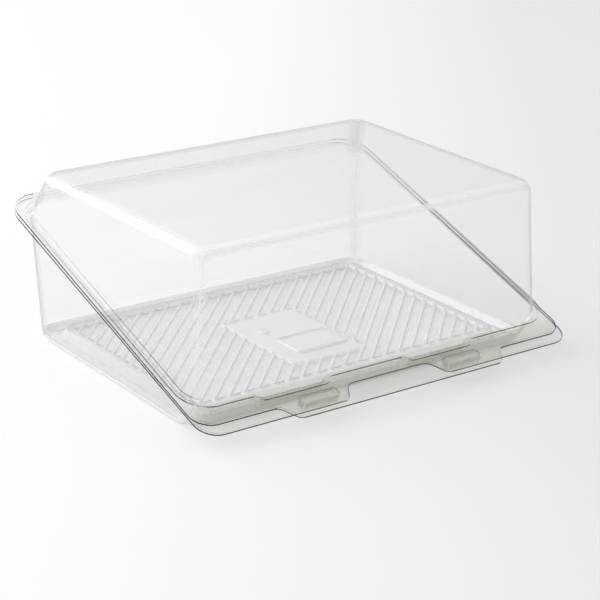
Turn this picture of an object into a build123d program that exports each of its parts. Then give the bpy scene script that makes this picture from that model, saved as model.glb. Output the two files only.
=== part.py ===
from build123d import *
from math import atan2, cos, degrees, hypot, radians, sin, tan
import os

# A hinged pack, thermoformed from one thin clear sheet: a shallow ribbed tray and a deep lid.
# Their flanges meet in one slanted plane, low at the front and high at the hinge.
# Millimetres. X is along the front, Y runs from the front to the hinge, Z is up.
# "Along the slope" and "s" are measured on the flange plane, from the tray's front edge to the back.
# "Height over the flange" and "w" are measured square to that plane.

# Sheet and flange plane
sheet = 0.5
slope = 18.3
flange_front_reach = 28.8
flange_front_height = 8.7

# Flanges, trimmed to the same width and to one line along the hinge
flange_width = 250.0
flange_end = 219.0
front_corner = 12.0
back_corner = 17.0
rim_drop = 0.6
lid_gap_front = 0.8
lid_gap_back = 2.2

# Mouth: the line where the walls of tray and lid meet the flanges
front_ledge = 21.0
side_ledge = 5.0
back_ledge = 11.3
mouth_corner = 14.0
mouth_width = flange_width - 2 * side_ledge
mouth_start = front_ledge
mouth_end = flange_end - back_ledge
mouth_front_y = mouth_start * cos(radians(slope)) - flange_front_reach
mouth_back_y = mouth_end * cos(radians(slope)) - flange_front_reach

# Tray floor, drawn in from the mouth at its sides and back, and the flat foot around its raised middle
tray_side_draft = 2.5
tray_back_draft = 4.9
floor_width = mouth_width - 2 * tray_side_draft
floor_depth = mouth_back_y - tray_back_draft
floor_corner = 15.0
foot_fillet = 5.0
foot_front = 12.0
foot_side = 12.5
foot_back = 9.5
plateau_height = 5.2
plateau_lean = 2.4
plateau_corner = 9.0
plateau_width = floor_width - 2 * foot_side
plateau_front = foot_front
plateau_back = floor_depth - foot_back

# Grooves across the raised middle, at 45 degrees, with narrow ribs left between them
groove_pitch = 6.8
groove_width = 5.2
groove_bed_width = 4.0
groove_side_depth = 1.4
groove_depth = 1.8
groove_end_margin = 4.5
groove_end_lean = 0.9
groove_underside_growth = 0.26

# Plain panel that the grooves stop at, with a raised pad and a small round mark on it
panel_width = 50.0
panel_depth = 73.6
panel_corner = 2.0
panel_setback = 20.1
pad_width = 35.0
pad_depth = 24.0
pad_height = 1.4
pad_lean = 0.5
pad_corner = 2.5
pad_offset_x = 2.6
pad_setback = 10.8
mark_radius = 4.0
mark_height = 0.9
mark_offset_x = -12.0
mark_setback = 49.8

# Bead of the tray's flange and the shoulder of the lid that sits over it
bead_inset = 0.6
bead_width = 2.2
bead_height = 1.5
shoulder_clearance = 0.5
shoulder_height = 1.5
shoulder_reach = bead_inset + bead_width + shoulder_clearance

# The rims fill what is left outside the shoulder
rim_width = side_ledge - shoulder_reach - sheet

# Latches: a bay in the wall behind each, a socket in the tray and a boss under the lid's tab
latch_centre = 49.0
bay_offset_x = -11.2
bay_length = 43.0
bay_reach = 4.6
bay_depth = 5.0
bay_flare = 4.6
bay_radius = 5.6
socket_length = 26.0
socket_width = 8.2
socket_depth = 4.5
socket_corner = 3.0
socket_draft = 12.0
socket_setback = 3.6
boss_clearance = 0.45

# Finger recess in the tray's front flange, between the sockets
recess_side = 9.0
recess_flare = 7.0
recess_depth = 11.6
recess_radius = 6.0
recess_root = latch_centre - socket_length / 2 - recess_side
recess_mouth = recess_root + recess_flare

# The lid's wide lift tab, which spans the recess and both latches
lid_front_setback = 6.5
tab_overhang = 4.7
tab_side = 7.0
tab_flare = 7.0
tab_radius = 6.0
tab_front_half = latch_centre + socket_length / 2 + tab_side
tab_root_half = tab_front_half + tab_flare

# Lid, drawn in from the mouth to its flat top
lid_height = 98.8
lid_side_draft = 6.2
lid_front_draft = 1.86
lid_back_draft = 9.9
lid_top_width = mouth_width - 2 * lid_side_draft
lid_top_front = mouth_front_y + lid_front_draft
lid_top_back = mouth_back_y - lid_back_draft
lid_top_corner = 13.0
lid_top_fillet = 8.0

# Hinge fold: a half turn of sheet from one flange's back edge to the other's, split at its outermost line
fold_end_gap = 1.0
fold_length = flange_width - 2 * (back_corner + fold_end_gap)
fold_overlap = 0.5
fold_split_angle = 5.0
fold_radius = lid_gap_back / 2 + sheet

# Cuts run past the faces that they open by this much
past = 1.0


def full_outline(half):
    """A closed outline from its right half, given as (x, y, corner radius) from front to back."""
    return half + [(-x, y, r) for x, y, r in reversed(half)]


def grown(outline, amount):
    """A closed outline moved outwards by an amount, with its corner radii kept concentric."""
    result = []
    count = len(outline)
    for i in range(count):
        x, y, radius = outline[i]
        before = outline[i - 1]
        after = outline[(i + 1) % count]
        ax, ay = x - before[0], y - before[1]
        bx, by = after[0] - x, after[1] - y
        a, b = hypot(ax, ay), hypot(bx, by)
        nax, nay = ay / a, -ax / a
        nbx, nby = by / b, -bx / b
        share = amount / (1 + nax * nbx + nay * nby)
        turns_left = ax * by - ay * bx > 0
        new_radius = radius + amount if turns_left else radius - amount
        result.append((x + (nax + nbx) * share, y + (nay + nby) * share, new_radius))
    return result


def outline_face(plane, outline):
    """The flat face inside a closed outline with rounded corners, on a plane."""
    points = [(x, y) for x, y, r in outline]
    radii = [r for x, y, r in outline]
    return plane * make_face(FilletPolyline(*points, radius=radii, close=True))


def slab(plane, outline, low, high):
    """A straight-sided block over an outline, between two heights over a plane."""
    return extrude(outline_face(plane.offset(low), outline), high - low, dir=plane.z_dir)


def leaning_block(plane, outline, low, high, lean):
    """A block over an outline at its low end, drawn in by the lean at its high end."""
    bottom = outline_face(plane.offset(low), outline)
    top = outline_face(plane.offset(high), grown(outline, -lean))
    return loft([bottom, top], ruled=True)


def rectangle(width, front, back, corner):
    """A rounded rectangle centred across the pack."""
    return full_outline([(width / 2, front, corner), (width / 2, back, corner)])


def slanted_plane(origin, tilt):
    """A plane that flanges lie in: its own X runs across the pack and its own Y up the slope."""
    normal = (0, -sin(radians(tilt)), cos(radians(tilt)))
    return Plane(origin=origin, x_dir=(1, 0, 0), z_dir=normal)


table = Plane.XY
tray_plane = slanted_plane((0, -flange_front_reach, flange_front_height), slope)
lid_tilt = slope + degrees(atan2(lid_gap_back - lid_gap_front, flange_end))
lid_plane = slanted_plane(tray_plane.origin + tray_plane.z_dir * lid_gap_front, lid_tilt)

floor_outline = rectangle(floor_width, 0, floor_depth, floor_corner)
top_outline = rectangle(lid_top_width, lid_top_front, lid_top_back, lid_top_corner)
mouth_outline = rectangle(mouth_width, mouth_start, mouth_end, mouth_corner)

plateau_outline = rectangle(plateau_width, plateau_front, plateau_back, plateau_corner)
panel_front = plateau_front + panel_setback
panel_outline = rectangle(panel_width, panel_front, panel_front + panel_depth, panel_corner)
pad_front = panel_front + pad_setback
pad_outline = rectangle(pad_width, pad_front, pad_front + pad_depth, pad_corner)
pad_place = Pos(pad_offset_x, 0, 0)


def bay_steps(centre):
    """The four corners where the mouth steps out towards the front and back in again, around a centre."""
    left = centre - bay_length / 2
    right = centre + bay_length / 2
    return [
        (left - bay_flare / 2, mouth_start, bay_radius),
        (left + bay_flare / 2, mouth_start - bay_reach, bay_radius / 2),
        (right - bay_flare / 2, mouth_start - bay_reach, bay_radius / 2),
        (right + bay_flare / 2, mouth_start, bay_radius),
    ]


# The mouth with its two latch bays, which both lie to the left of their latches
bay_outline = bay_steps(bay_offset_x - latch_centre) + bay_steps(bay_offset_x + latch_centre)
bay_outline += [
    (mouth_width / 2, mouth_start, mouth_corner),
    (mouth_width / 2, mouth_end, mouth_corner),
    (-mouth_width / 2, mouth_end, mouth_corner),
    (-mouth_width / 2, mouth_start, mouth_corner),
]

bay_back = mouth_start + bay_reach
bay_zone = [(-mouth_width / 2 + mouth_corner, mouth_start - bay_reach - past, 0),
            (mouth_width / 2 - mouth_corner, mouth_start - bay_reach - past, 0),
            (mouth_width / 2 - mouth_corner, bay_back, 0),
            (-mouth_width / 2 + mouth_corner, bay_back, 0)]

tray_flange_outline = full_outline([
    (recess_root, recess_depth, recess_radius),
    (recess_mouth, 0, recess_radius),
    (flange_width / 2, 0, front_corner),
    (flange_width / 2, flange_end, back_corner),
])

lid_flange_outline = full_outline([
    (tab_front_half, -tab_overhang, tab_radius),
    (tab_root_half, lid_front_setback, tab_radius),
    (flange_width / 2, lid_front_setback, front_corner),
    (flange_width / 2, flange_end, back_corner),
])


def flange_plate(plane, outline, top):
    """A flange with a rim that steps down along its trimmed edge; top is the height of its upper face."""
    rim_line = grown(outline, -rim_width)
    step_line = grown(outline, -rim_width - sheet)
    low = top - sheet - rim_drop
    rim = slab(plane, outline, low, low + sheet)
    raised = slab(plane, rim_line, low, top)
    hollow = slab(plane, step_line, low - past, top - sheet)
    return rim + raised - hollow


def latch_outline(side, clearance):
    """The rounded rectangle of a latch socket, or of the boss inside it when a clearance is given."""
    centre = side * latch_centre
    near = socket_setback + clearance
    far = socket_setback + socket_width - clearance
    half = socket_length / 2 - clearance
    radius = socket_corner - clearance
    corners = [(centre - half, near), (centre + half, near), (centre + half, far), (centre - half, far)]
    return [(x, y, radius) for x, y in corners]


def latch_cup(plane, side, clearance, depth, inset):
    """A downward cup at one latch, as a solid; the inset makes the smaller solid that hollows it."""
    outline = grown(latch_outline(side, clearance), -inset)
    upper = outline_face(plane, outline)
    lower = outline_face(plane.offset(-depth), grown(outline, -depth * tan(radians(socket_draft))))
    return loft([upper, lower], ruled=True)


def groove_section(growth, level):
    """The section of one groove sunk from a level and open above it; growth widens it for the underside."""
    mouth = groove_width / 2 + growth
    bed = groove_bed_width / 2 + growth
    top = level + past
    low = level - groove_side_depth
    left = Polyline((-mouth, top), (-mouth, level), (-bed, low))
    bottom = ThreePointArc((-bed, low), (0, level - groove_depth), (bed, low))
    right = Polyline((bed, low), (mouth, level), (mouth, top))
    return make_face([left, bottom, right, Line((mouth, top), (-mouth, top))])


def groove_bars(growth, level):
    """All the grooves as long straight bars at 45 degrees, evenly spaced over the plateau."""
    reach = (plateau_width + plateau_back - plateau_front) / 2
    count = int(reach / (groove_pitch * 2 ** 0.5))
    along = Vector(1, 1, 0).normalized()
    across = Vector(-1, 1, 0).normalized()
    middle = Vector(0, (plateau_front + plateau_back) / 2, 0)
    bars = []
    for i in range(-count, count + 1):
        start = middle + across * (i * groove_pitch) - along * reach
        section = Plane(origin=start, x_dir=across, z_dir=along) * groove_section(growth, level)
        bars.append(extrude(section, 2 * reach, dir=along))
    return bars


def groove_field(growth, level):
    """The space that grooves may fill: inside a margin of the plateau and around the panel, leaning ends."""
    low = level - groove_depth - past
    high = level + 2 * past
    lean = groove_end_lean / groove_depth
    drawn_in = lean * (level - low)
    edge = grown(plateau_outline, growth - groove_end_margin - drawn_in)
    area = leaning_block(table, edge, low, high, -lean * (high - low))
    hole = grown(panel_outline, drawn_in - growth)
    return area - leaning_block(table, hole, low, high, lean * (high - low))


def floor_relief(shrink, level):
    """What stands up from the tray's floor: the grooved plateau, the plain pad and the round mark."""
    plateau = leaning_block(table, grown(plateau_outline, plateau_lean - shrink), 0, level, plateau_lean)
    field = groove_field(shrink, level)
    grooves = [bar & field for bar in groove_bars(shrink, level)]
    pad = leaning_block(table, grown(pad_outline, -shrink), level, level + pad_height, pad_lean)
    mark_place = Pos(mark_offset_x, panel_front + mark_setback, level + mark_height / 2)
    mark = mark_place * Cone(mark_radius - shrink, mark_radius - shrink - mark_height, mark_height)
    return plateau - grooves + pad_place * pad + mark


def bowl(shrink, level):
    """The tray's bowl from a floor level up to the flange plane, with its latch bays, as a solid."""
    ends = [outline_face(table.offset(level), grown(floor_outline, -shrink)),
            outline_face(tray_plane, grown(mouth_outline, -shrink))]
    body = loft(ends, ruled=True)
    bottom = body.faces().sort_by(Axis.Z)[0]
    body = fillet(bottom.edges(), foot_fillet - shrink)
    bays = slab(tray_plane, grown(bay_outline, -shrink), shrink - bay_depth, 0)
    front = slab(tray_plane, bay_zone, -bay_depth, 0)
    return body + (bays & front)


def fold_quarter(plane, height, up):
    """One half of the hinge fold: a quarter turn of sheet along the flange's back edge."""
    centre = plane.origin + plane.y_dir * flange_end + plane.z_dir * height
    section_plane = Plane(origin=centre, x_dir=plane.y_dir, z_dir=plane.x_dir)
    outer = fold_radius
    inner = fold_radius - sheet
    way = 1 if up else -1

    def at(radius, angle):
        return radius * sin(radians(angle)), way * radius * cos(radians(angle))

    split = 90 - fold_split_angle
    ring = make_face([
        Line(at(inner, 0), at(outer, 0)),
        ThreePointArc(at(outer, 0), at(outer, split / 2), at(outer, split)),
        Line(at(outer, split), at(inner, split)),
        ThreePointArc(at(inner, split), at(inner, split / 2), at(inner, 0)),
    ])
    root = make_face(Polyline((0, way * inner), (0, way * outer), (-fold_overlap, way * outer),
                              (-fold_overlap, way * inner), close=True))
    section = section_plane * (ring + root)
    return extrude(section, fold_length / 2, both=True)


def make_tray():
    """The tray: bowl, flange with its bead, latch sockets and the lower half of the hinge fold."""
    outside = bowl(0, 0) + flange_plate(tray_plane, tray_flange_outline, 0)
    outside += slab(tray_plane, grown(bay_outline, bead_inset + bead_width), -sheet, bead_height)
    outside += [latch_cup(tray_plane, side, 0, socket_depth, 0) for side in (-1, 1)]
    outside += fold_quarter(tray_plane, fold_radius - sheet - rim_drop, False)
    hollow = bowl(sheet, sheet) + slab(tray_plane, grown(bay_outline, -sheet), -sheet * 2, past)
    hollow += slab(tray_plane, grown(bay_outline, bead_inset), 0, bead_height + past)
    bead_top = bead_height - sheet
    bead_low = -sheet - past
    under_bead = slab(tray_plane, grown(bay_outline, bead_inset + bead_width - sheet), bead_low, bead_top)
    under_bead -= slab(tray_plane, grown(bay_outline, bead_inset + sheet), bead_low, bead_top)
    sockets = [latch_cup(tray_plane, side, 0, socket_depth - sheet, sheet) for side in (-1, 1)]
    shell = outside - (hollow - floor_relief(0, plateau_height + sheet)) - under_bead - sockets
    return shell - floor_relief(groove_underside_growth, plateau_height)


def lid_bell(shrink):
    """The lid's deep cover from the flange plane up to its top, as a solid."""
    ends = [outline_face(lid_plane, grown(mouth_outline, -shrink)),
            outline_face(table.offset(lid_height - shrink), grown(top_outline, -shrink))]
    body = loft(ends, ruled=True)
    top = body.faces().sort_by(Axis.Z)[-1]
    return fillet(top.edges(), lid_top_fillet - shrink)


def make_lid():
    """The lid: cover, shoulder over the tray's bead, flange with tab and bosses, upper half of the fold."""
    boss_depth = socket_depth - sheet + lid_gap_front - boss_clearance
    flange_top = lid_plane.offset(sheet)
    outside = lid_bell(0) + flange_plate(lid_plane, lid_flange_outline, sheet)
    outside += slab(lid_plane, grown(bay_outline, shoulder_reach + sheet), 0, shoulder_height + sheet)
    outside += [latch_cup(flange_top, side, boss_clearance, boss_depth + sheet, 0) for side in (-1, 1)]
    outside += fold_quarter(lid_plane, sheet - rim_drop - fold_radius, True)
    hollow = lid_bell(sheet)
    hollow += slab(lid_plane, grown(bay_outline, shoulder_reach), -rim_drop - past, shoulder_height)
    bosses = [latch_cup(flange_top, side, boss_clearance, boss_depth, sheet) for side in (-1, 1)]
    return outside - hollow - bosses


tray = make_tray()
lid = make_lid()
pack_box = tray.bounding_box().add(lid.bounding_box())
shift = Vector(0, -pack_box.center().Y, 0)
stand = Pos(shift)
hinge_point = tray_plane.from_local_coords((0, flange_end + fold_radius, fold_radius - sheet - rim_drop))
print("the hinge axis passes", shift + hinge_point)

os.makedirs("parts", exist_ok=True)
export_step(stand * tray, "parts/base_tray.step")
export_step(stand * lid, "parts/lid.step")
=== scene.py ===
from math import cos, radians, sin

import bpy
from mathutils import Matrix, Vector

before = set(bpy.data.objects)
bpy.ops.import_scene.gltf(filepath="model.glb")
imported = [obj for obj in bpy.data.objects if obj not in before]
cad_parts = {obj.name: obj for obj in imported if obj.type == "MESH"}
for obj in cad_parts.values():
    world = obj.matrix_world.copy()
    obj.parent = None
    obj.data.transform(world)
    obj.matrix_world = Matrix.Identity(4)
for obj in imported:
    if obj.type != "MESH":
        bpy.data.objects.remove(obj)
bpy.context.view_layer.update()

# The pack is clear plastic. Its two formed sheets come from model.glb as they are, and this script
# gives them their look, with a pale floor, soft lamps and a camera at the photograph's angle. Metres.

# The slanted planes that the flanges lie in: a point on the tray's front line, how far the lid's
# plane lies over it, and both slopes in degrees
tray_slope = 18.3
tray_point = Vector((0, -0.10235, 0.0087))
lid_slope = 18.666
lid_rise = 0.0008

# Where the trimmed edges are: their heights over the flange plane, and the border that they lie in
tray_edge_low = -0.00115
tray_edge_high = -0.00055
lid_edge_low = -0.00062
lid_edge_high = -0.00008
flange_half_width = 0.125
flange_half_length = 0.110
border_side = 0.1205
border_front = 0.0035
border_back = 0.2107
corner_radius = 0.012
edge_strip = 0.0003
strip_height = 0.002
upright_limit = 0.35

# The tray's front edge and its finger recess, which is narrower at its root than at its mouth
tray_front = 0.0
recess_half = 0.0355
recess_end = 0.0125
recess_root_half = 0.027
recess_mouth_half = 0.034
recess_root = 0.0116
recess_bend = 0.0046

# The lid's front edge and its tab
lid_front = 0.0065
lid_front_end = 0.0105
lid_tab_front = -0.0047
tab_half = 0.064
tab_flare_half = 0.077

# Where thin dark lines of painted shade run, for light lost at sharp bends: along the top of the lid's
# shoulder and of the tray's bead, and round the latches, but not at the foot of the front wall
lid_line_low = 0.0013
lid_line_high = 0.0021
tray_line_low = 0.0011
tray_line_high = 0.0016
socket_line_low = -0.0008
socket_line_high = 0.0001
latch_end = 0.0125
line_fade_end = 0.25
wall_foot = 0.0195
wall_side_start = 0.112
wall_side = 0.119

# How many clear surfaces a ray may pass
clear_surfaces = 32

# Camera, in degrees and metres
frame_pixels = 600
focal_pixels = 1936.4
sensor_width = 36.0
camera_azimuth = -36.4
camera_elevation = 20.44
camera_roll = 1.12
camera_distance = 1.0591
camera_target = Vector((-0.0233, -0.0415, 0.0430))
camera_reach = 100

# Floor, with a painted glow for lamp light that is weaker towards the camera's right
floor_size = 60.0
floor_colour = (0.93, 0.93, 0.935, 1)
floor_roughness = 0.7
floor_gloss = 0.2
grain_scale = 90.0
grain_detail = 2.0
grain_amount = 0.01
glow_share = 0.5
glow_middle = 0.90
glow_rise_back = 0.06
glow_fall_right = 0.95
glow_least = 0.74
glow_front_end = -0.3
glow_cool = (0.995, 0.995, 1.01, 1)

# Room
backdrop_colour = (0.95, 0.95, 0.96, 1)
front_colour = (0.80, 0.80, 0.82, 1)
back_colour = (1.0, 1.0, 1.02, 1)
fill_strength = 0.80
room_turn = 0.6

# Lamps: place, size and power, all aimed at one point
lamp_target = (0, 0, 0.05)
key_place = (-0.9, 1.5, 1.3)
key_size = 1.6
key_power = 21
corner_place = (-1.12, -0.72, 1.6)
corner_size = 0.5
corner_power = 5

# Clear sheet: how it reflects, its tint, and the painted shade on what is seen through it
normal_reflection = 0.04
reflection_power = 5.0
grazing_power = 8.0
gloss_roughness = 0.05
roughness_spread = 0.08
cloud_scale = 25.0
cloud_detail = 0.0
facing_blend = 0.5
clear_colour = (0.995, 0.996, 0.992, 1)
# Greyer at grazing angles: partly the sheet's own absorption over a longer path, partly painted shade
# for the dark rims that refraction gives
grazing_tint_and_shade = (0.80, 0.81, 0.77, 1)
# Painted shade: the flange darker and more olive towards the front, partly for the layers of sheet seen
# through, partly for the shade under it
flange_shade_colour = (0.95, 0.947, 0.928, 1)
flange_height = 0.006
flange_shade_start = 0.012
flange_shade_end = 0.024
# Painted shade: dark lines at sharp bends over the flange, and lighter ones round the latches
riser_shade_colour = (0.28, 0.28, 0.265, 1)
latch_shade_colour = (0.84, 0.84, 0.82, 1)
# Painted shade: greyer where the tray's bottom rests on the floor
foot_shade_colour = (0.965, 0.965, 0.97, 1)
foot_height = 0.001

# Trimmed edge, drawn black: painted shade for the light a cut edge loses, partly the sheet's own
# absorption
edge_shade_colour = (0.0, 0.0, 0.0, 1)
edge_roughness = 0.4
edge_gloss = 0.2

# Painted highlight, a white haze standing in for reflections of the bright room: its colour, its shares
# where the sheet turns, and its limits. A turn is nought on a face that is square to an axis and 0.42 at
# a corner. The relief is the raised floor with its ribs.
painted_highlight_colour = (0.98, 0.98, 0.985, 1)
painted_highlight_share = 0.55
upright_turn_highlight = 0.25
top_corner_highlight = 0.9
rib_end_highlight = 0.9
raised_relief_highlight = 0.5
turn_start = 0.05
turn_end = 0.28
corner_turn_start = 0.22
corner_turn_end = 0.36
level_start = 0.1
level_end = 0.5
relief_bed = 0.0040
relief_top = 0.0051
relief_height = 0.0078
relief_front = -0.080
relief_level_start = 0.12
relief_level_end = 0.3
rib_side_start = 0.99
rib_side_end = 0.85
rib_end_start = 0.12
rib_end_end = 0.4


def camera_frame():
    """The camera's own axes: right, up and backwards."""
    azimuth, elevation, roll = (radians(a) for a in (camera_azimuth, camera_elevation, camera_roll))
    back = Vector((sin(azimuth) * cos(elevation), -cos(azimuth) * cos(elevation), sin(elevation)))
    level = Vector((0, 0, 1)).cross(back).normalized()
    upright = back.cross(level)
    right = level * cos(roll) + upright * sin(roll)
    up = upright * cos(roll) - level * sin(roll)
    return right, up, back


def add_camera():
    """The camera at the photograph's viewing angle."""
    right, up, back = camera_frame()
    data = bpy.data.cameras.new("camera")
    data.sensor_width = sensor_width
    data.lens = sensor_width * focal_pixels / frame_pixels
    data.clip_end = camera_reach
    camera = bpy.data.objects.new("camera", data)
    turn = Matrix((right, up, back)).transposed().to_4x4()
    camera.matrix_world = Matrix.Translation(camera_target + back * camera_distance) @ turn
    bpy.context.scene.collection.objects.link(camera)
    bpy.context.scene.camera = camera


class Graph:
    """The node tree of a material or world, with short ways to add the nodes used here."""

    def __init__(self, tree):
        self.nodes = tree.nodes
        self.links = tree.links

    def put(self, value, socket):
        """Feeds a socket from another socket or with a constant."""
        if isinstance(value, bpy.types.NodeSocket):
            self.links.new(value, socket)
        else:
            socket.default_value = value

    def math(self, operation, first, second=0.0):
        """A Math node."""
        node = self.nodes.new("ShaderNodeMath")
        node.operation = operation
        self.put(first, node.inputs[0])
        self.put(second, node.inputs[1])
        return node.outputs[0]

    def math_with(self, operation, first, second, third):
        """A Math node with three values."""
        result = self.math(operation, first, second)
        self.put(third, result.node.inputs[2])
        return result

    def between(self, value, low, high):
        """One where a value lies between two others."""
        above = self.math("GREATER_THAN", value, low)
        return self.math("MULTIPLY", above, self.math("LESS_THAN", value, high))

    def all_of(self, *masks):
        """One where every mask is one."""
        result = masks[0]
        for mask in masks[1:]:
            result = self.math("MULTIPLY", result, mask)
        return result

    def any_of(self, *masks):
        """One where any mask is one."""
        result = masks[0]
        for mask in masks[1:]:
            result = self.math("MAXIMUM", result, mask)
        return result

    def dot(self, vector, direction):
        """A vector's length along a direction."""
        node = self.nodes.new("ShaderNodeVectorMath")
        node.operation = "DOT_PRODUCT"
        self.links.new(vector, node.inputs[0])
        node.inputs[1].default_value = direction
        return node.outputs["Value"]

    def ramp(self, value, start, end):
        """Rises smoothly from nought to one between two values, or falls if the end is the lower."""
        node = self.nodes.new("ShaderNodeMapRange")
        node.interpolation_type = "SMOOTHSTEP"
        self.links.new(value, node.inputs["Value"])
        node.inputs["From Min"].default_value = min(start, end)
        node.inputs["From Max"].default_value = max(start, end)
        if end < start:
            node.inputs["To Min"].default_value = 1.0
            node.inputs["To Max"].default_value = 0.0
        return node.outputs["Result"]

    def blend(self, factor, first, second):
        """A colour between two others."""
        node = self.nodes.new("ShaderNodeMix")
        node.data_type = "RGBA"
        self.put(factor, node.inputs[0])
        self.put(first, node.inputs[6])
        self.put(second, node.inputs[7])
        return node.outputs[2]

    def mix(self, factor, first, second):
        """A shader between two others."""
        node = self.nodes.new("ShaderNodeMixShader")
        self.put(factor, node.inputs[0])
        self.links.new(first, node.inputs[1])
        self.links.new(second, node.inputs[2])
        return node.outputs[0]

    def noise(self, vector, scale, detail):
        """Soft noise between nought and one."""
        node = self.nodes.new("ShaderNodeTexNoise")
        self.links.new(vector, node.inputs["Vector"])
        node.inputs["Scale"].default_value = scale
        node.inputs["Detail"].default_value = detail
        return node.outputs[0]


def new_material(name):
    """An empty node material, its graph and its surface socket."""
    material = bpy.data.materials.new(name)
    material.use_nodes = True
    material.node_tree.nodes.clear()
    graph = Graph(material.node_tree)
    return material, graph, graph.nodes.new("ShaderNodeOutputMaterial").inputs["Surface"]


class FlangePlace:
    """Places and normals as a flange plane sees them: across the pack, up the slope and over it."""

    def __init__(self, graph, point, slope):
        tilt = radians(slope)
        across = (1, 0, 0)
        uphill = (0, cos(tilt), sin(tilt))
        over = (0, -sin(tilt), cos(tilt))
        texture = graph.nodes.new("ShaderNodeTexCoord")
        offset = graph.nodes.new("ShaderNodeVectorMath")
        offset.operation = "SUBTRACT"
        graph.links.new(texture.outputs["Object"], offset.inputs[0])
        offset.inputs[1].default_value = point
        self.place = texture.outputs["Object"]
        self.normal = texture.outputs["Normal"]
        self.x = graph.dot(offset.outputs[0], across)
        self.side = graph.math("ABSOLUTE", self.x)
        self.s = graph.dot(offset.outputs[0], uphill)
        self.w = graph.dot(offset.outputs[0], over)
        # A normal is turned round where the face is seen from behind, and the sign turns it back
        behind = graph.nodes.new("ShaderNodeNewGeometry").outputs["Backfacing"]
        sign = graph.math("SUBTRACT", 1.0, graph.math("MULTIPLY", behind, 2.0))
        self.normal_x = graph.math("MULTIPLY", graph.dot(self.normal, across), sign)
        self.normal_s = graph.math("MULTIPLY", graph.dot(self.normal, uphill), sign)
        lie = graph.math("ABSOLUTE", graph.dot(self.normal, over))
        self.upright = graph.math("LESS_THAN", lie, upright_limit)


def cut_edge(graph, at, low, high, patch, strip):
    """One on the sheet's trimmed edge: upright, outward and in the border, or on the strip beside it."""
    level = graph.between(at.w, low, high)
    near = graph.math("LESS_THAN", graph.math("ABSOLUTE", at.w), strip_height)
    middle_x = graph.math("DIVIDE", at.x, flange_half_width)
    middle_s = graph.math("SUBTRACT", at.s, flange_half_length)
    middle_s = graph.math("DIVIDE", middle_s, flange_half_length)
    out_x = graph.math("MULTIPLY", at.normal_x, middle_x)
    out_s = graph.math("MULTIPLY", at.normal_s, middle_s)
    outwards = graph.math("GREATER_THAN", graph.math("ADD", out_x, out_s), 0.0)
    border = graph.any_of(
        graph.math("GREATER_THAN", at.side, border_side),
        graph.math("LESS_THAN", at.s, border_front),
        graph.math("GREATER_THAN", at.s, border_back),
        patch,
    )
    return graph.any_of(graph.all_of(at.upright, level, outwards, border), graph.all_of(near, strip))


def outline_strip(graph, at, front):
    """One in a narrow strip along a flange's sides, its rounded front corners and its straight front."""
    beyond_x = graph.math("SUBTRACT", at.side, flange_half_width - corner_radius)
    beyond_x = graph.math("MAXIMUM", beyond_x, 0.0)
    beyond_s = graph.math("SUBTRACT", front + corner_radius, at.s)
    beyond_s = graph.math("MAXIMUM", beyond_s, 0.0)
    square_x = graph.math("MULTIPLY", beyond_x, beyond_x)
    square_s = graph.math("MULTIPLY", beyond_s, beyond_s)
    inner_radius = corner_radius - edge_strip
    return graph.math("GREATER_THAN", graph.math("ADD", square_x, square_s), inner_radius ** 2)


def tray_strip(graph, at):
    """The strip along the tray's trimmed edge: its sides, front corners, front and finger recess."""
    outline = outline_strip(graph, at, tray_front)
    outside = graph.all_of(outline, graph.math("LESS_THAN", at.s, border_back))
    flank = Vector((recess_root, recess_mouth_half - recess_root_half)).normalized()
    past_flank = graph.math("MULTIPLY", graph.math("SUBTRACT", at.side, recess_mouth_half), flank.x)
    past_flank = graph.math("ADD", past_flank, graph.math("MULTIPLY", at.s, flank.y))
    past_root = graph.math("SUBTRACT", at.s, recess_root)
    past_recess = graph.math_with("SMOOTH_MAX", past_root, past_flank, recess_bend)
    return graph.any_of(outside, graph.math("LESS_THAN", past_recess, edge_strip))


def lid_strip(graph, at):
    """The strip along the lid's trimmed edge: its sides and front corners, and the front of its tab."""
    outline = outline_strip(graph, at, lid_front)
    beside_tab = graph.math("GREATER_THAN", at.side, tab_flare_half)
    outside = graph.all_of(outline, beside_tab, graph.math("LESS_THAN", at.s, border_back))
    tab = graph.math("LESS_THAN", at.s, lid_tab_front + edge_strip)
    return graph.any_of(outside, tab)


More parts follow.
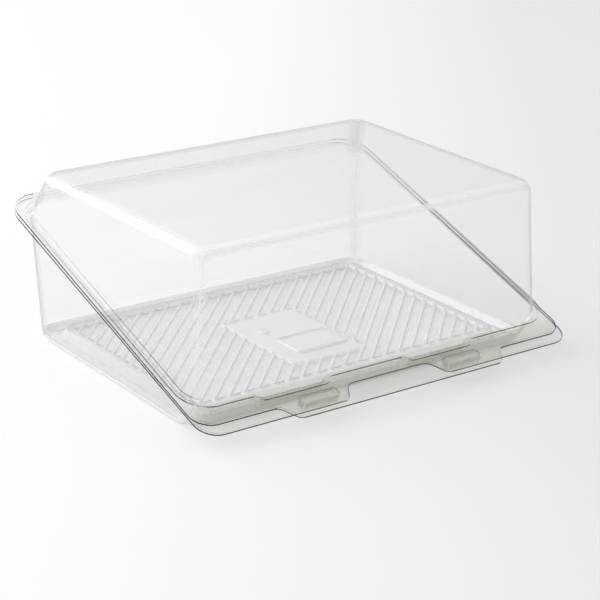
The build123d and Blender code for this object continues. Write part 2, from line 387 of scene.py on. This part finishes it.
def painted_highlight_amount(graph, at):
    """How much painted highlight the sheet gets: none where flat, some where it turns and on ribs, most
    at corners and rib ends.
    """
    parts = graph.nodes.new("ShaderNodeSeparateXYZ")
    graph.links.new(at.normal, parts.inputs[0])
    size_x, size_y, size_z = (graph.math("ABSOLUTE", parts.outputs[axis]) for axis in ("X", "Y", "Z"))
    height = graph.dot(at.place, (0, 0, 1))

    turn = graph.math("SUBTRACT", 1.0, graph.any_of(size_x, size_y, size_z))
    turned = graph.ramp(turn, turn_start, turn_end)
    level = graph.ramp(size_z, level_start, level_end)
    level = graph.math_with("MULTIPLY_ADD", level, 1 - upright_turn_highlight, upright_turn_highlight)
    high = graph.math("GREATER_THAN", height, relief_height)
    corner = graph.all_of(graph.ramp(turn, corner_turn_start, corner_turn_end), high)

    inside = graph.math("GREATER_THAN", graph.dot(at.place, (0, 1, 0)), relief_front)
    levelled = graph.ramp(size_z, relief_level_start, relief_level_end)
    low = graph.all_of(graph.math("LESS_THAN", height, relief_height), inside, levelled)
    rib_side = graph.ramp(size_z, rib_side_start, rib_side_end)
    raised = graph.math("MULTIPLY", graph.ramp(height, relief_bed, relief_top), raised_relief_highlight)
    relief = graph.all_of(low, graph.any_of(rib_side, raised))
    slanted = graph.math("ABSOLUTE", graph.math("SUBTRACT", size_x, size_y))
    rib_end = graph.all_of(low, graph.ramp(slanted, rib_end_start, rib_end_end))

    soft = graph.any_of(graph.all_of(turned, level), relief)
    return graph.any_of(
        graph.math("MULTIPLY", soft, painted_highlight_share),
        graph.math("MULTIPLY", corner, top_corner_highlight),
        graph.math("MULTIPLY", rib_end, rib_end_highlight),
    )


def shoulder_line(graph, at, low, high):
    """One where light is lost at a sharp bend: a thin line over the flange, fainter to the back."""
    level = graph.between(at.w, low, high)
    behind_latches = graph.math("GREATER_THAN", at.s, latch_end)
    behind_foot = graph.math("GREATER_THAN", at.s, wall_foot)
    front_wall = graph.all_of(behind_foot, graph.ramp(at.side, wall_side, wall_side_start))
    elsewhere = graph.math("SUBTRACT", 1.0, front_wall)
    fade = graph.ramp(at.s, line_fade_end, 0.0)
    return graph.all_of(at.upright, level, behind_latches, elsewhere, fade)


def latch_line(graph, at):
    """One at the top of the upright walls of the sockets and bosses, where a thin line of painted shade
    runs.
    """
    level = graph.between(at.w, socket_line_low, socket_line_high)
    return graph.all_of(at.upright, level, graph.between(at.s, border_front, latch_end))


def clear_plastic(name, point, slope, low, high, patch_of, strip_of, line_low, line_high):
    """Clear sheet: see-through and glossy, with painted highlights where it bends, painted shade that
    turns it olive in front and black painted shade at its cut edge.
    """
    material, graph, surface = new_material(name)
    at = FlangePlace(graph, point, slope)
    facing = graph.nodes.new("ShaderNodeLayerWeight")
    facing.inputs["Blend"].default_value = facing_blend
    steep = graph.math("POWER", facing.outputs["Facing"], reflection_power)
    reflection = graph.math_with("MULTIPLY_ADD", steep, 1 - normal_reflection, normal_reflection)

    greyer = graph.math("POWER", facing.outputs["Facing"], grazing_power)
    # Partly the sheet's own absorption, partly painted shade: greyer where the sheet is seen at a
    # grazing angle
    tint_and_shade = graph.blend(greyer, clear_colour, grazing_tint_and_shade)
    # Painted shade: the flange darker and more olive towards the front, for the shade under it and the
    # layers of sheet seen through
    near = graph.math("LESS_THAN", graph.math("ABSOLUTE", at.w), flange_height)
    front = graph.all_of(near, graph.ramp(at.s, flange_shade_end, flange_shade_start))
    tint_and_shade = graph.blend(front, tint_and_shade, flange_shade_colour)
    # Painted shade: greyer where the tray's bottom rests on the floor
    foot = graph.math("LESS_THAN", graph.dot(at.place, (0, 0, 1)), foot_height)
    tint_and_shade = graph.blend(foot, tint_and_shade, foot_shade_colour)
    # Painted shade: thin lines round the latches and darker ones at sharp bends over the flange
    tint_and_shade = graph.blend(latch_line(graph, at), tint_and_shade, latch_shade_colour)
    tint_and_shade = graph.blend(shoulder_line(graph, at, line_low, line_high), tint_and_shade, riser_shade_colour)

    through = graph.nodes.new("ShaderNodeBsdfTransparent")
    graph.links.new(tint_and_shade, through.inputs["Color"])
    gloss = graph.nodes.new("ShaderNodeBsdfGlossy")
    clouds = graph.noise(at.place, cloud_scale, cloud_detail)
    roughness = graph.math_with("MULTIPLY_ADD", clouds, roughness_spread, gloss_roughness)
    graph.links.new(roughness, gloss.inputs["Roughness"])
    film = graph.mix(reflection, through.outputs[0], gloss.outputs[0])

    # Painted highlight: a white diffuse mixed in where the sheet bends, on ribs and at corners, for
    # reflections of the bright room
    highlight_diffuse = graph.nodes.new("ShaderNodeBsdfDiffuse")
    highlight_diffuse.inputs["Color"].default_value = painted_highlight_colour
    highlighted = graph.mix(painted_highlight_amount(graph, at), film, highlight_diffuse.outputs[0])

    # Painted shade: the trimmed edge drawn black for the light a cut edge loses, partly the sheet's own
    # absorption
    cut = graph.nodes.new("ShaderNodeBsdfPrincipled")
    cut.inputs["Base Color"].default_value = edge_shade_colour
    cut.inputs["Roughness"].default_value = edge_roughness
    cut.inputs["Specular IOR Level"].default_value = edge_gloss
    edge = cut_edge(graph, at, low, high, patch_of(graph, at), strip_of(graph, at))
    graph.links.new(graph.mix(edge, highlighted, cut.outputs[0]), surface)
    return material


def recess_patch(graph, at):
    """The tray's finger recess, whose edge lies behind the border strip."""
    beside = graph.math("LESS_THAN", at.side, recess_half)
    return graph.all_of(beside, graph.math("LESS_THAN", at.s, recess_end))


def corner_patch(graph, at):
    """The lid's front edge beside its tab, which lies behind the border strip."""
    beside = graph.math("GREATER_THAN", at.side, tab_half)
    return graph.all_of(beside, graph.math("LESS_THAN", at.s, lid_front_end))


def give_material(node_name, material):
    """Puts one material on all of a CAD node's slots."""
    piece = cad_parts[node_name]
    piece.data.materials.clear()
    piece.data.materials.append(material)


def direct_rays(graph):
    """One for the rays that show a thing to the camera, in a reflection or through glass."""
    rays = graph.nodes.new("ShaderNodeLightPath")
    kinds = ("Is Camera Ray", "Is Glossy Ray", "Is Transmission Ray")
    return graph.any_of(*[rays.outputs[kind] for kind in kinds])


def add_floor():
    """A plain pale floor under the pack, with a painted glow for direct rays that is brighter to the
    camera's left and back.
    """
    material, graph, surface = new_material("floor_paper")
    texture = graph.nodes.new("ShaderNodeTexCoord")
    azimuth = radians(camera_azimuth)
    rightwards = graph.dot(texture.outputs["Object"], (cos(azimuth), sin(azimuth), 0))
    backwards = graph.dot(texture.outputs["Object"], (-sin(azimuth), cos(azimuth), 0))
    rise = graph.math("MAXIMUM", backwards, glow_front_end)
    fall = graph.math("MULTIPLY", rightwards, glow_fall_right)
    level = graph.math_with("MULTIPLY_ADD", rise, glow_rise_back, glow_middle)
    level = graph.math("MINIMUM", graph.math("SUBTRACT", level, fall), 1.0)
    level = graph.math("MAXIMUM", level, glow_least)
    grain = graph.noise(texture.outputs["Object"], grain_scale, grain_detail)
    level = graph.math("SUBTRACT", level, graph.math("MULTIPLY", grain, grain_amount))

    paper = graph.nodes.new("ShaderNodeBsdfPrincipled")
    paper.inputs["Base Color"].default_value = floor_colour
    paper.inputs["Roughness"].default_value = floor_roughness
    paper.inputs["Specular IOR Level"].default_value = floor_gloss
    # Painted light: an emission for direct rays that stands in for the lamps' falloff across the floor
    glow = graph.nodes.new("ShaderNodeEmission")
    glow.inputs["Color"].default_value = glow_cool
    graph.links.new(level, glow.inputs["Strength"])
    share = graph.math("MULTIPLY", direct_rays(graph), glow_share)
    graph.links.new(graph.mix(share, paper.outputs[0], glow.outputs[0]), surface)

    half = floor_size / 2
    corners = [(-half, -half, 0), (half, -half, 0), (half, half, 0), (-half, half, 0)]
    mesh = bpy.data.meshes.new("floor")
    mesh.from_pydata(corners, [], [(0, 1, 2, 3)])
    mesh.materials.append(material)
    floor = bpy.data.objects.new("floor", mesh)
    bpy.context.scene.collection.objects.link(floor)


def add_lamp(name, place, size, power):
    """A soft square lamp aimed at the pack."""
    data = bpy.data.lights.new(name, "AREA")
    data.size = size
    data.energy = power
    lamp = bpy.data.objects.new(name, data)
    way = Vector(lamp_target) - Vector(place)
    lamp.matrix_world = Matrix.Translation(place) @ way.to_track_quat("-Z", "Y").to_matrix().to_4x4()
    bpy.context.scene.collection.objects.link(lamp)


def set_world():
    """A pale studio: brighter behind the pack than in front of it, plain where the camera sees it."""
    world = bpy.data.worlds.new("studio")
    bpy.context.scene.world = world
    world.use_nodes = True
    graph = Graph(world.node_tree)
    direction = graph.nodes.new("ShaderNodeTexCoord")
    backness = graph.dot(direction.outputs["Generated"], (0, 1, 0))
    room = graph.blend(graph.ramp(backness, -room_turn, room_turn), front_colour, back_colour)
    rays = graph.nodes.new("ShaderNodeLightPath")
    seen = graph.blend(rays.outputs["Is Camera Ray"], room, backdrop_colour)
    background = graph.nodes["Background"]
    graph.links.new(seen, background.inputs["Color"])
    strength = graph.math_with("MULTIPLY_ADD", direct_rays(graph), 1 - fill_strength, fill_strength)
    graph.links.new(strength, background.inputs["Strength"])


bpy.context.scene.view_settings.view_transform = "Standard"
bpy.context.scene.cycles.transparent_max_bounces = clear_surfaces
add_camera()
add_floor()
set_world()
add_lamp("key", key_place, key_size, key_power)
add_lamp("corner", corner_place, corner_size, corner_power)

tray_tilt = radians(tray_slope)
lid_point = tray_point + Vector((0, -sin(tray_tilt), cos(tray_tilt))) * lid_rise
tray_sheet = clear_plastic("tray_clear_sheet", tray_point, tray_slope, tray_edge_low, tray_edge_high,
                           recess_patch, tray_strip, tray_line_low, tray_line_high)
lid_sheet = clear_plastic("lid_clear_sheet", lid_point, lid_slope, lid_edge_low, lid_edge_high,
                          corner_patch, lid_strip, lid_line_low, lid_line_high)
give_material("base_tray", tray_sheet)
give_material("lid", lid_sheet)
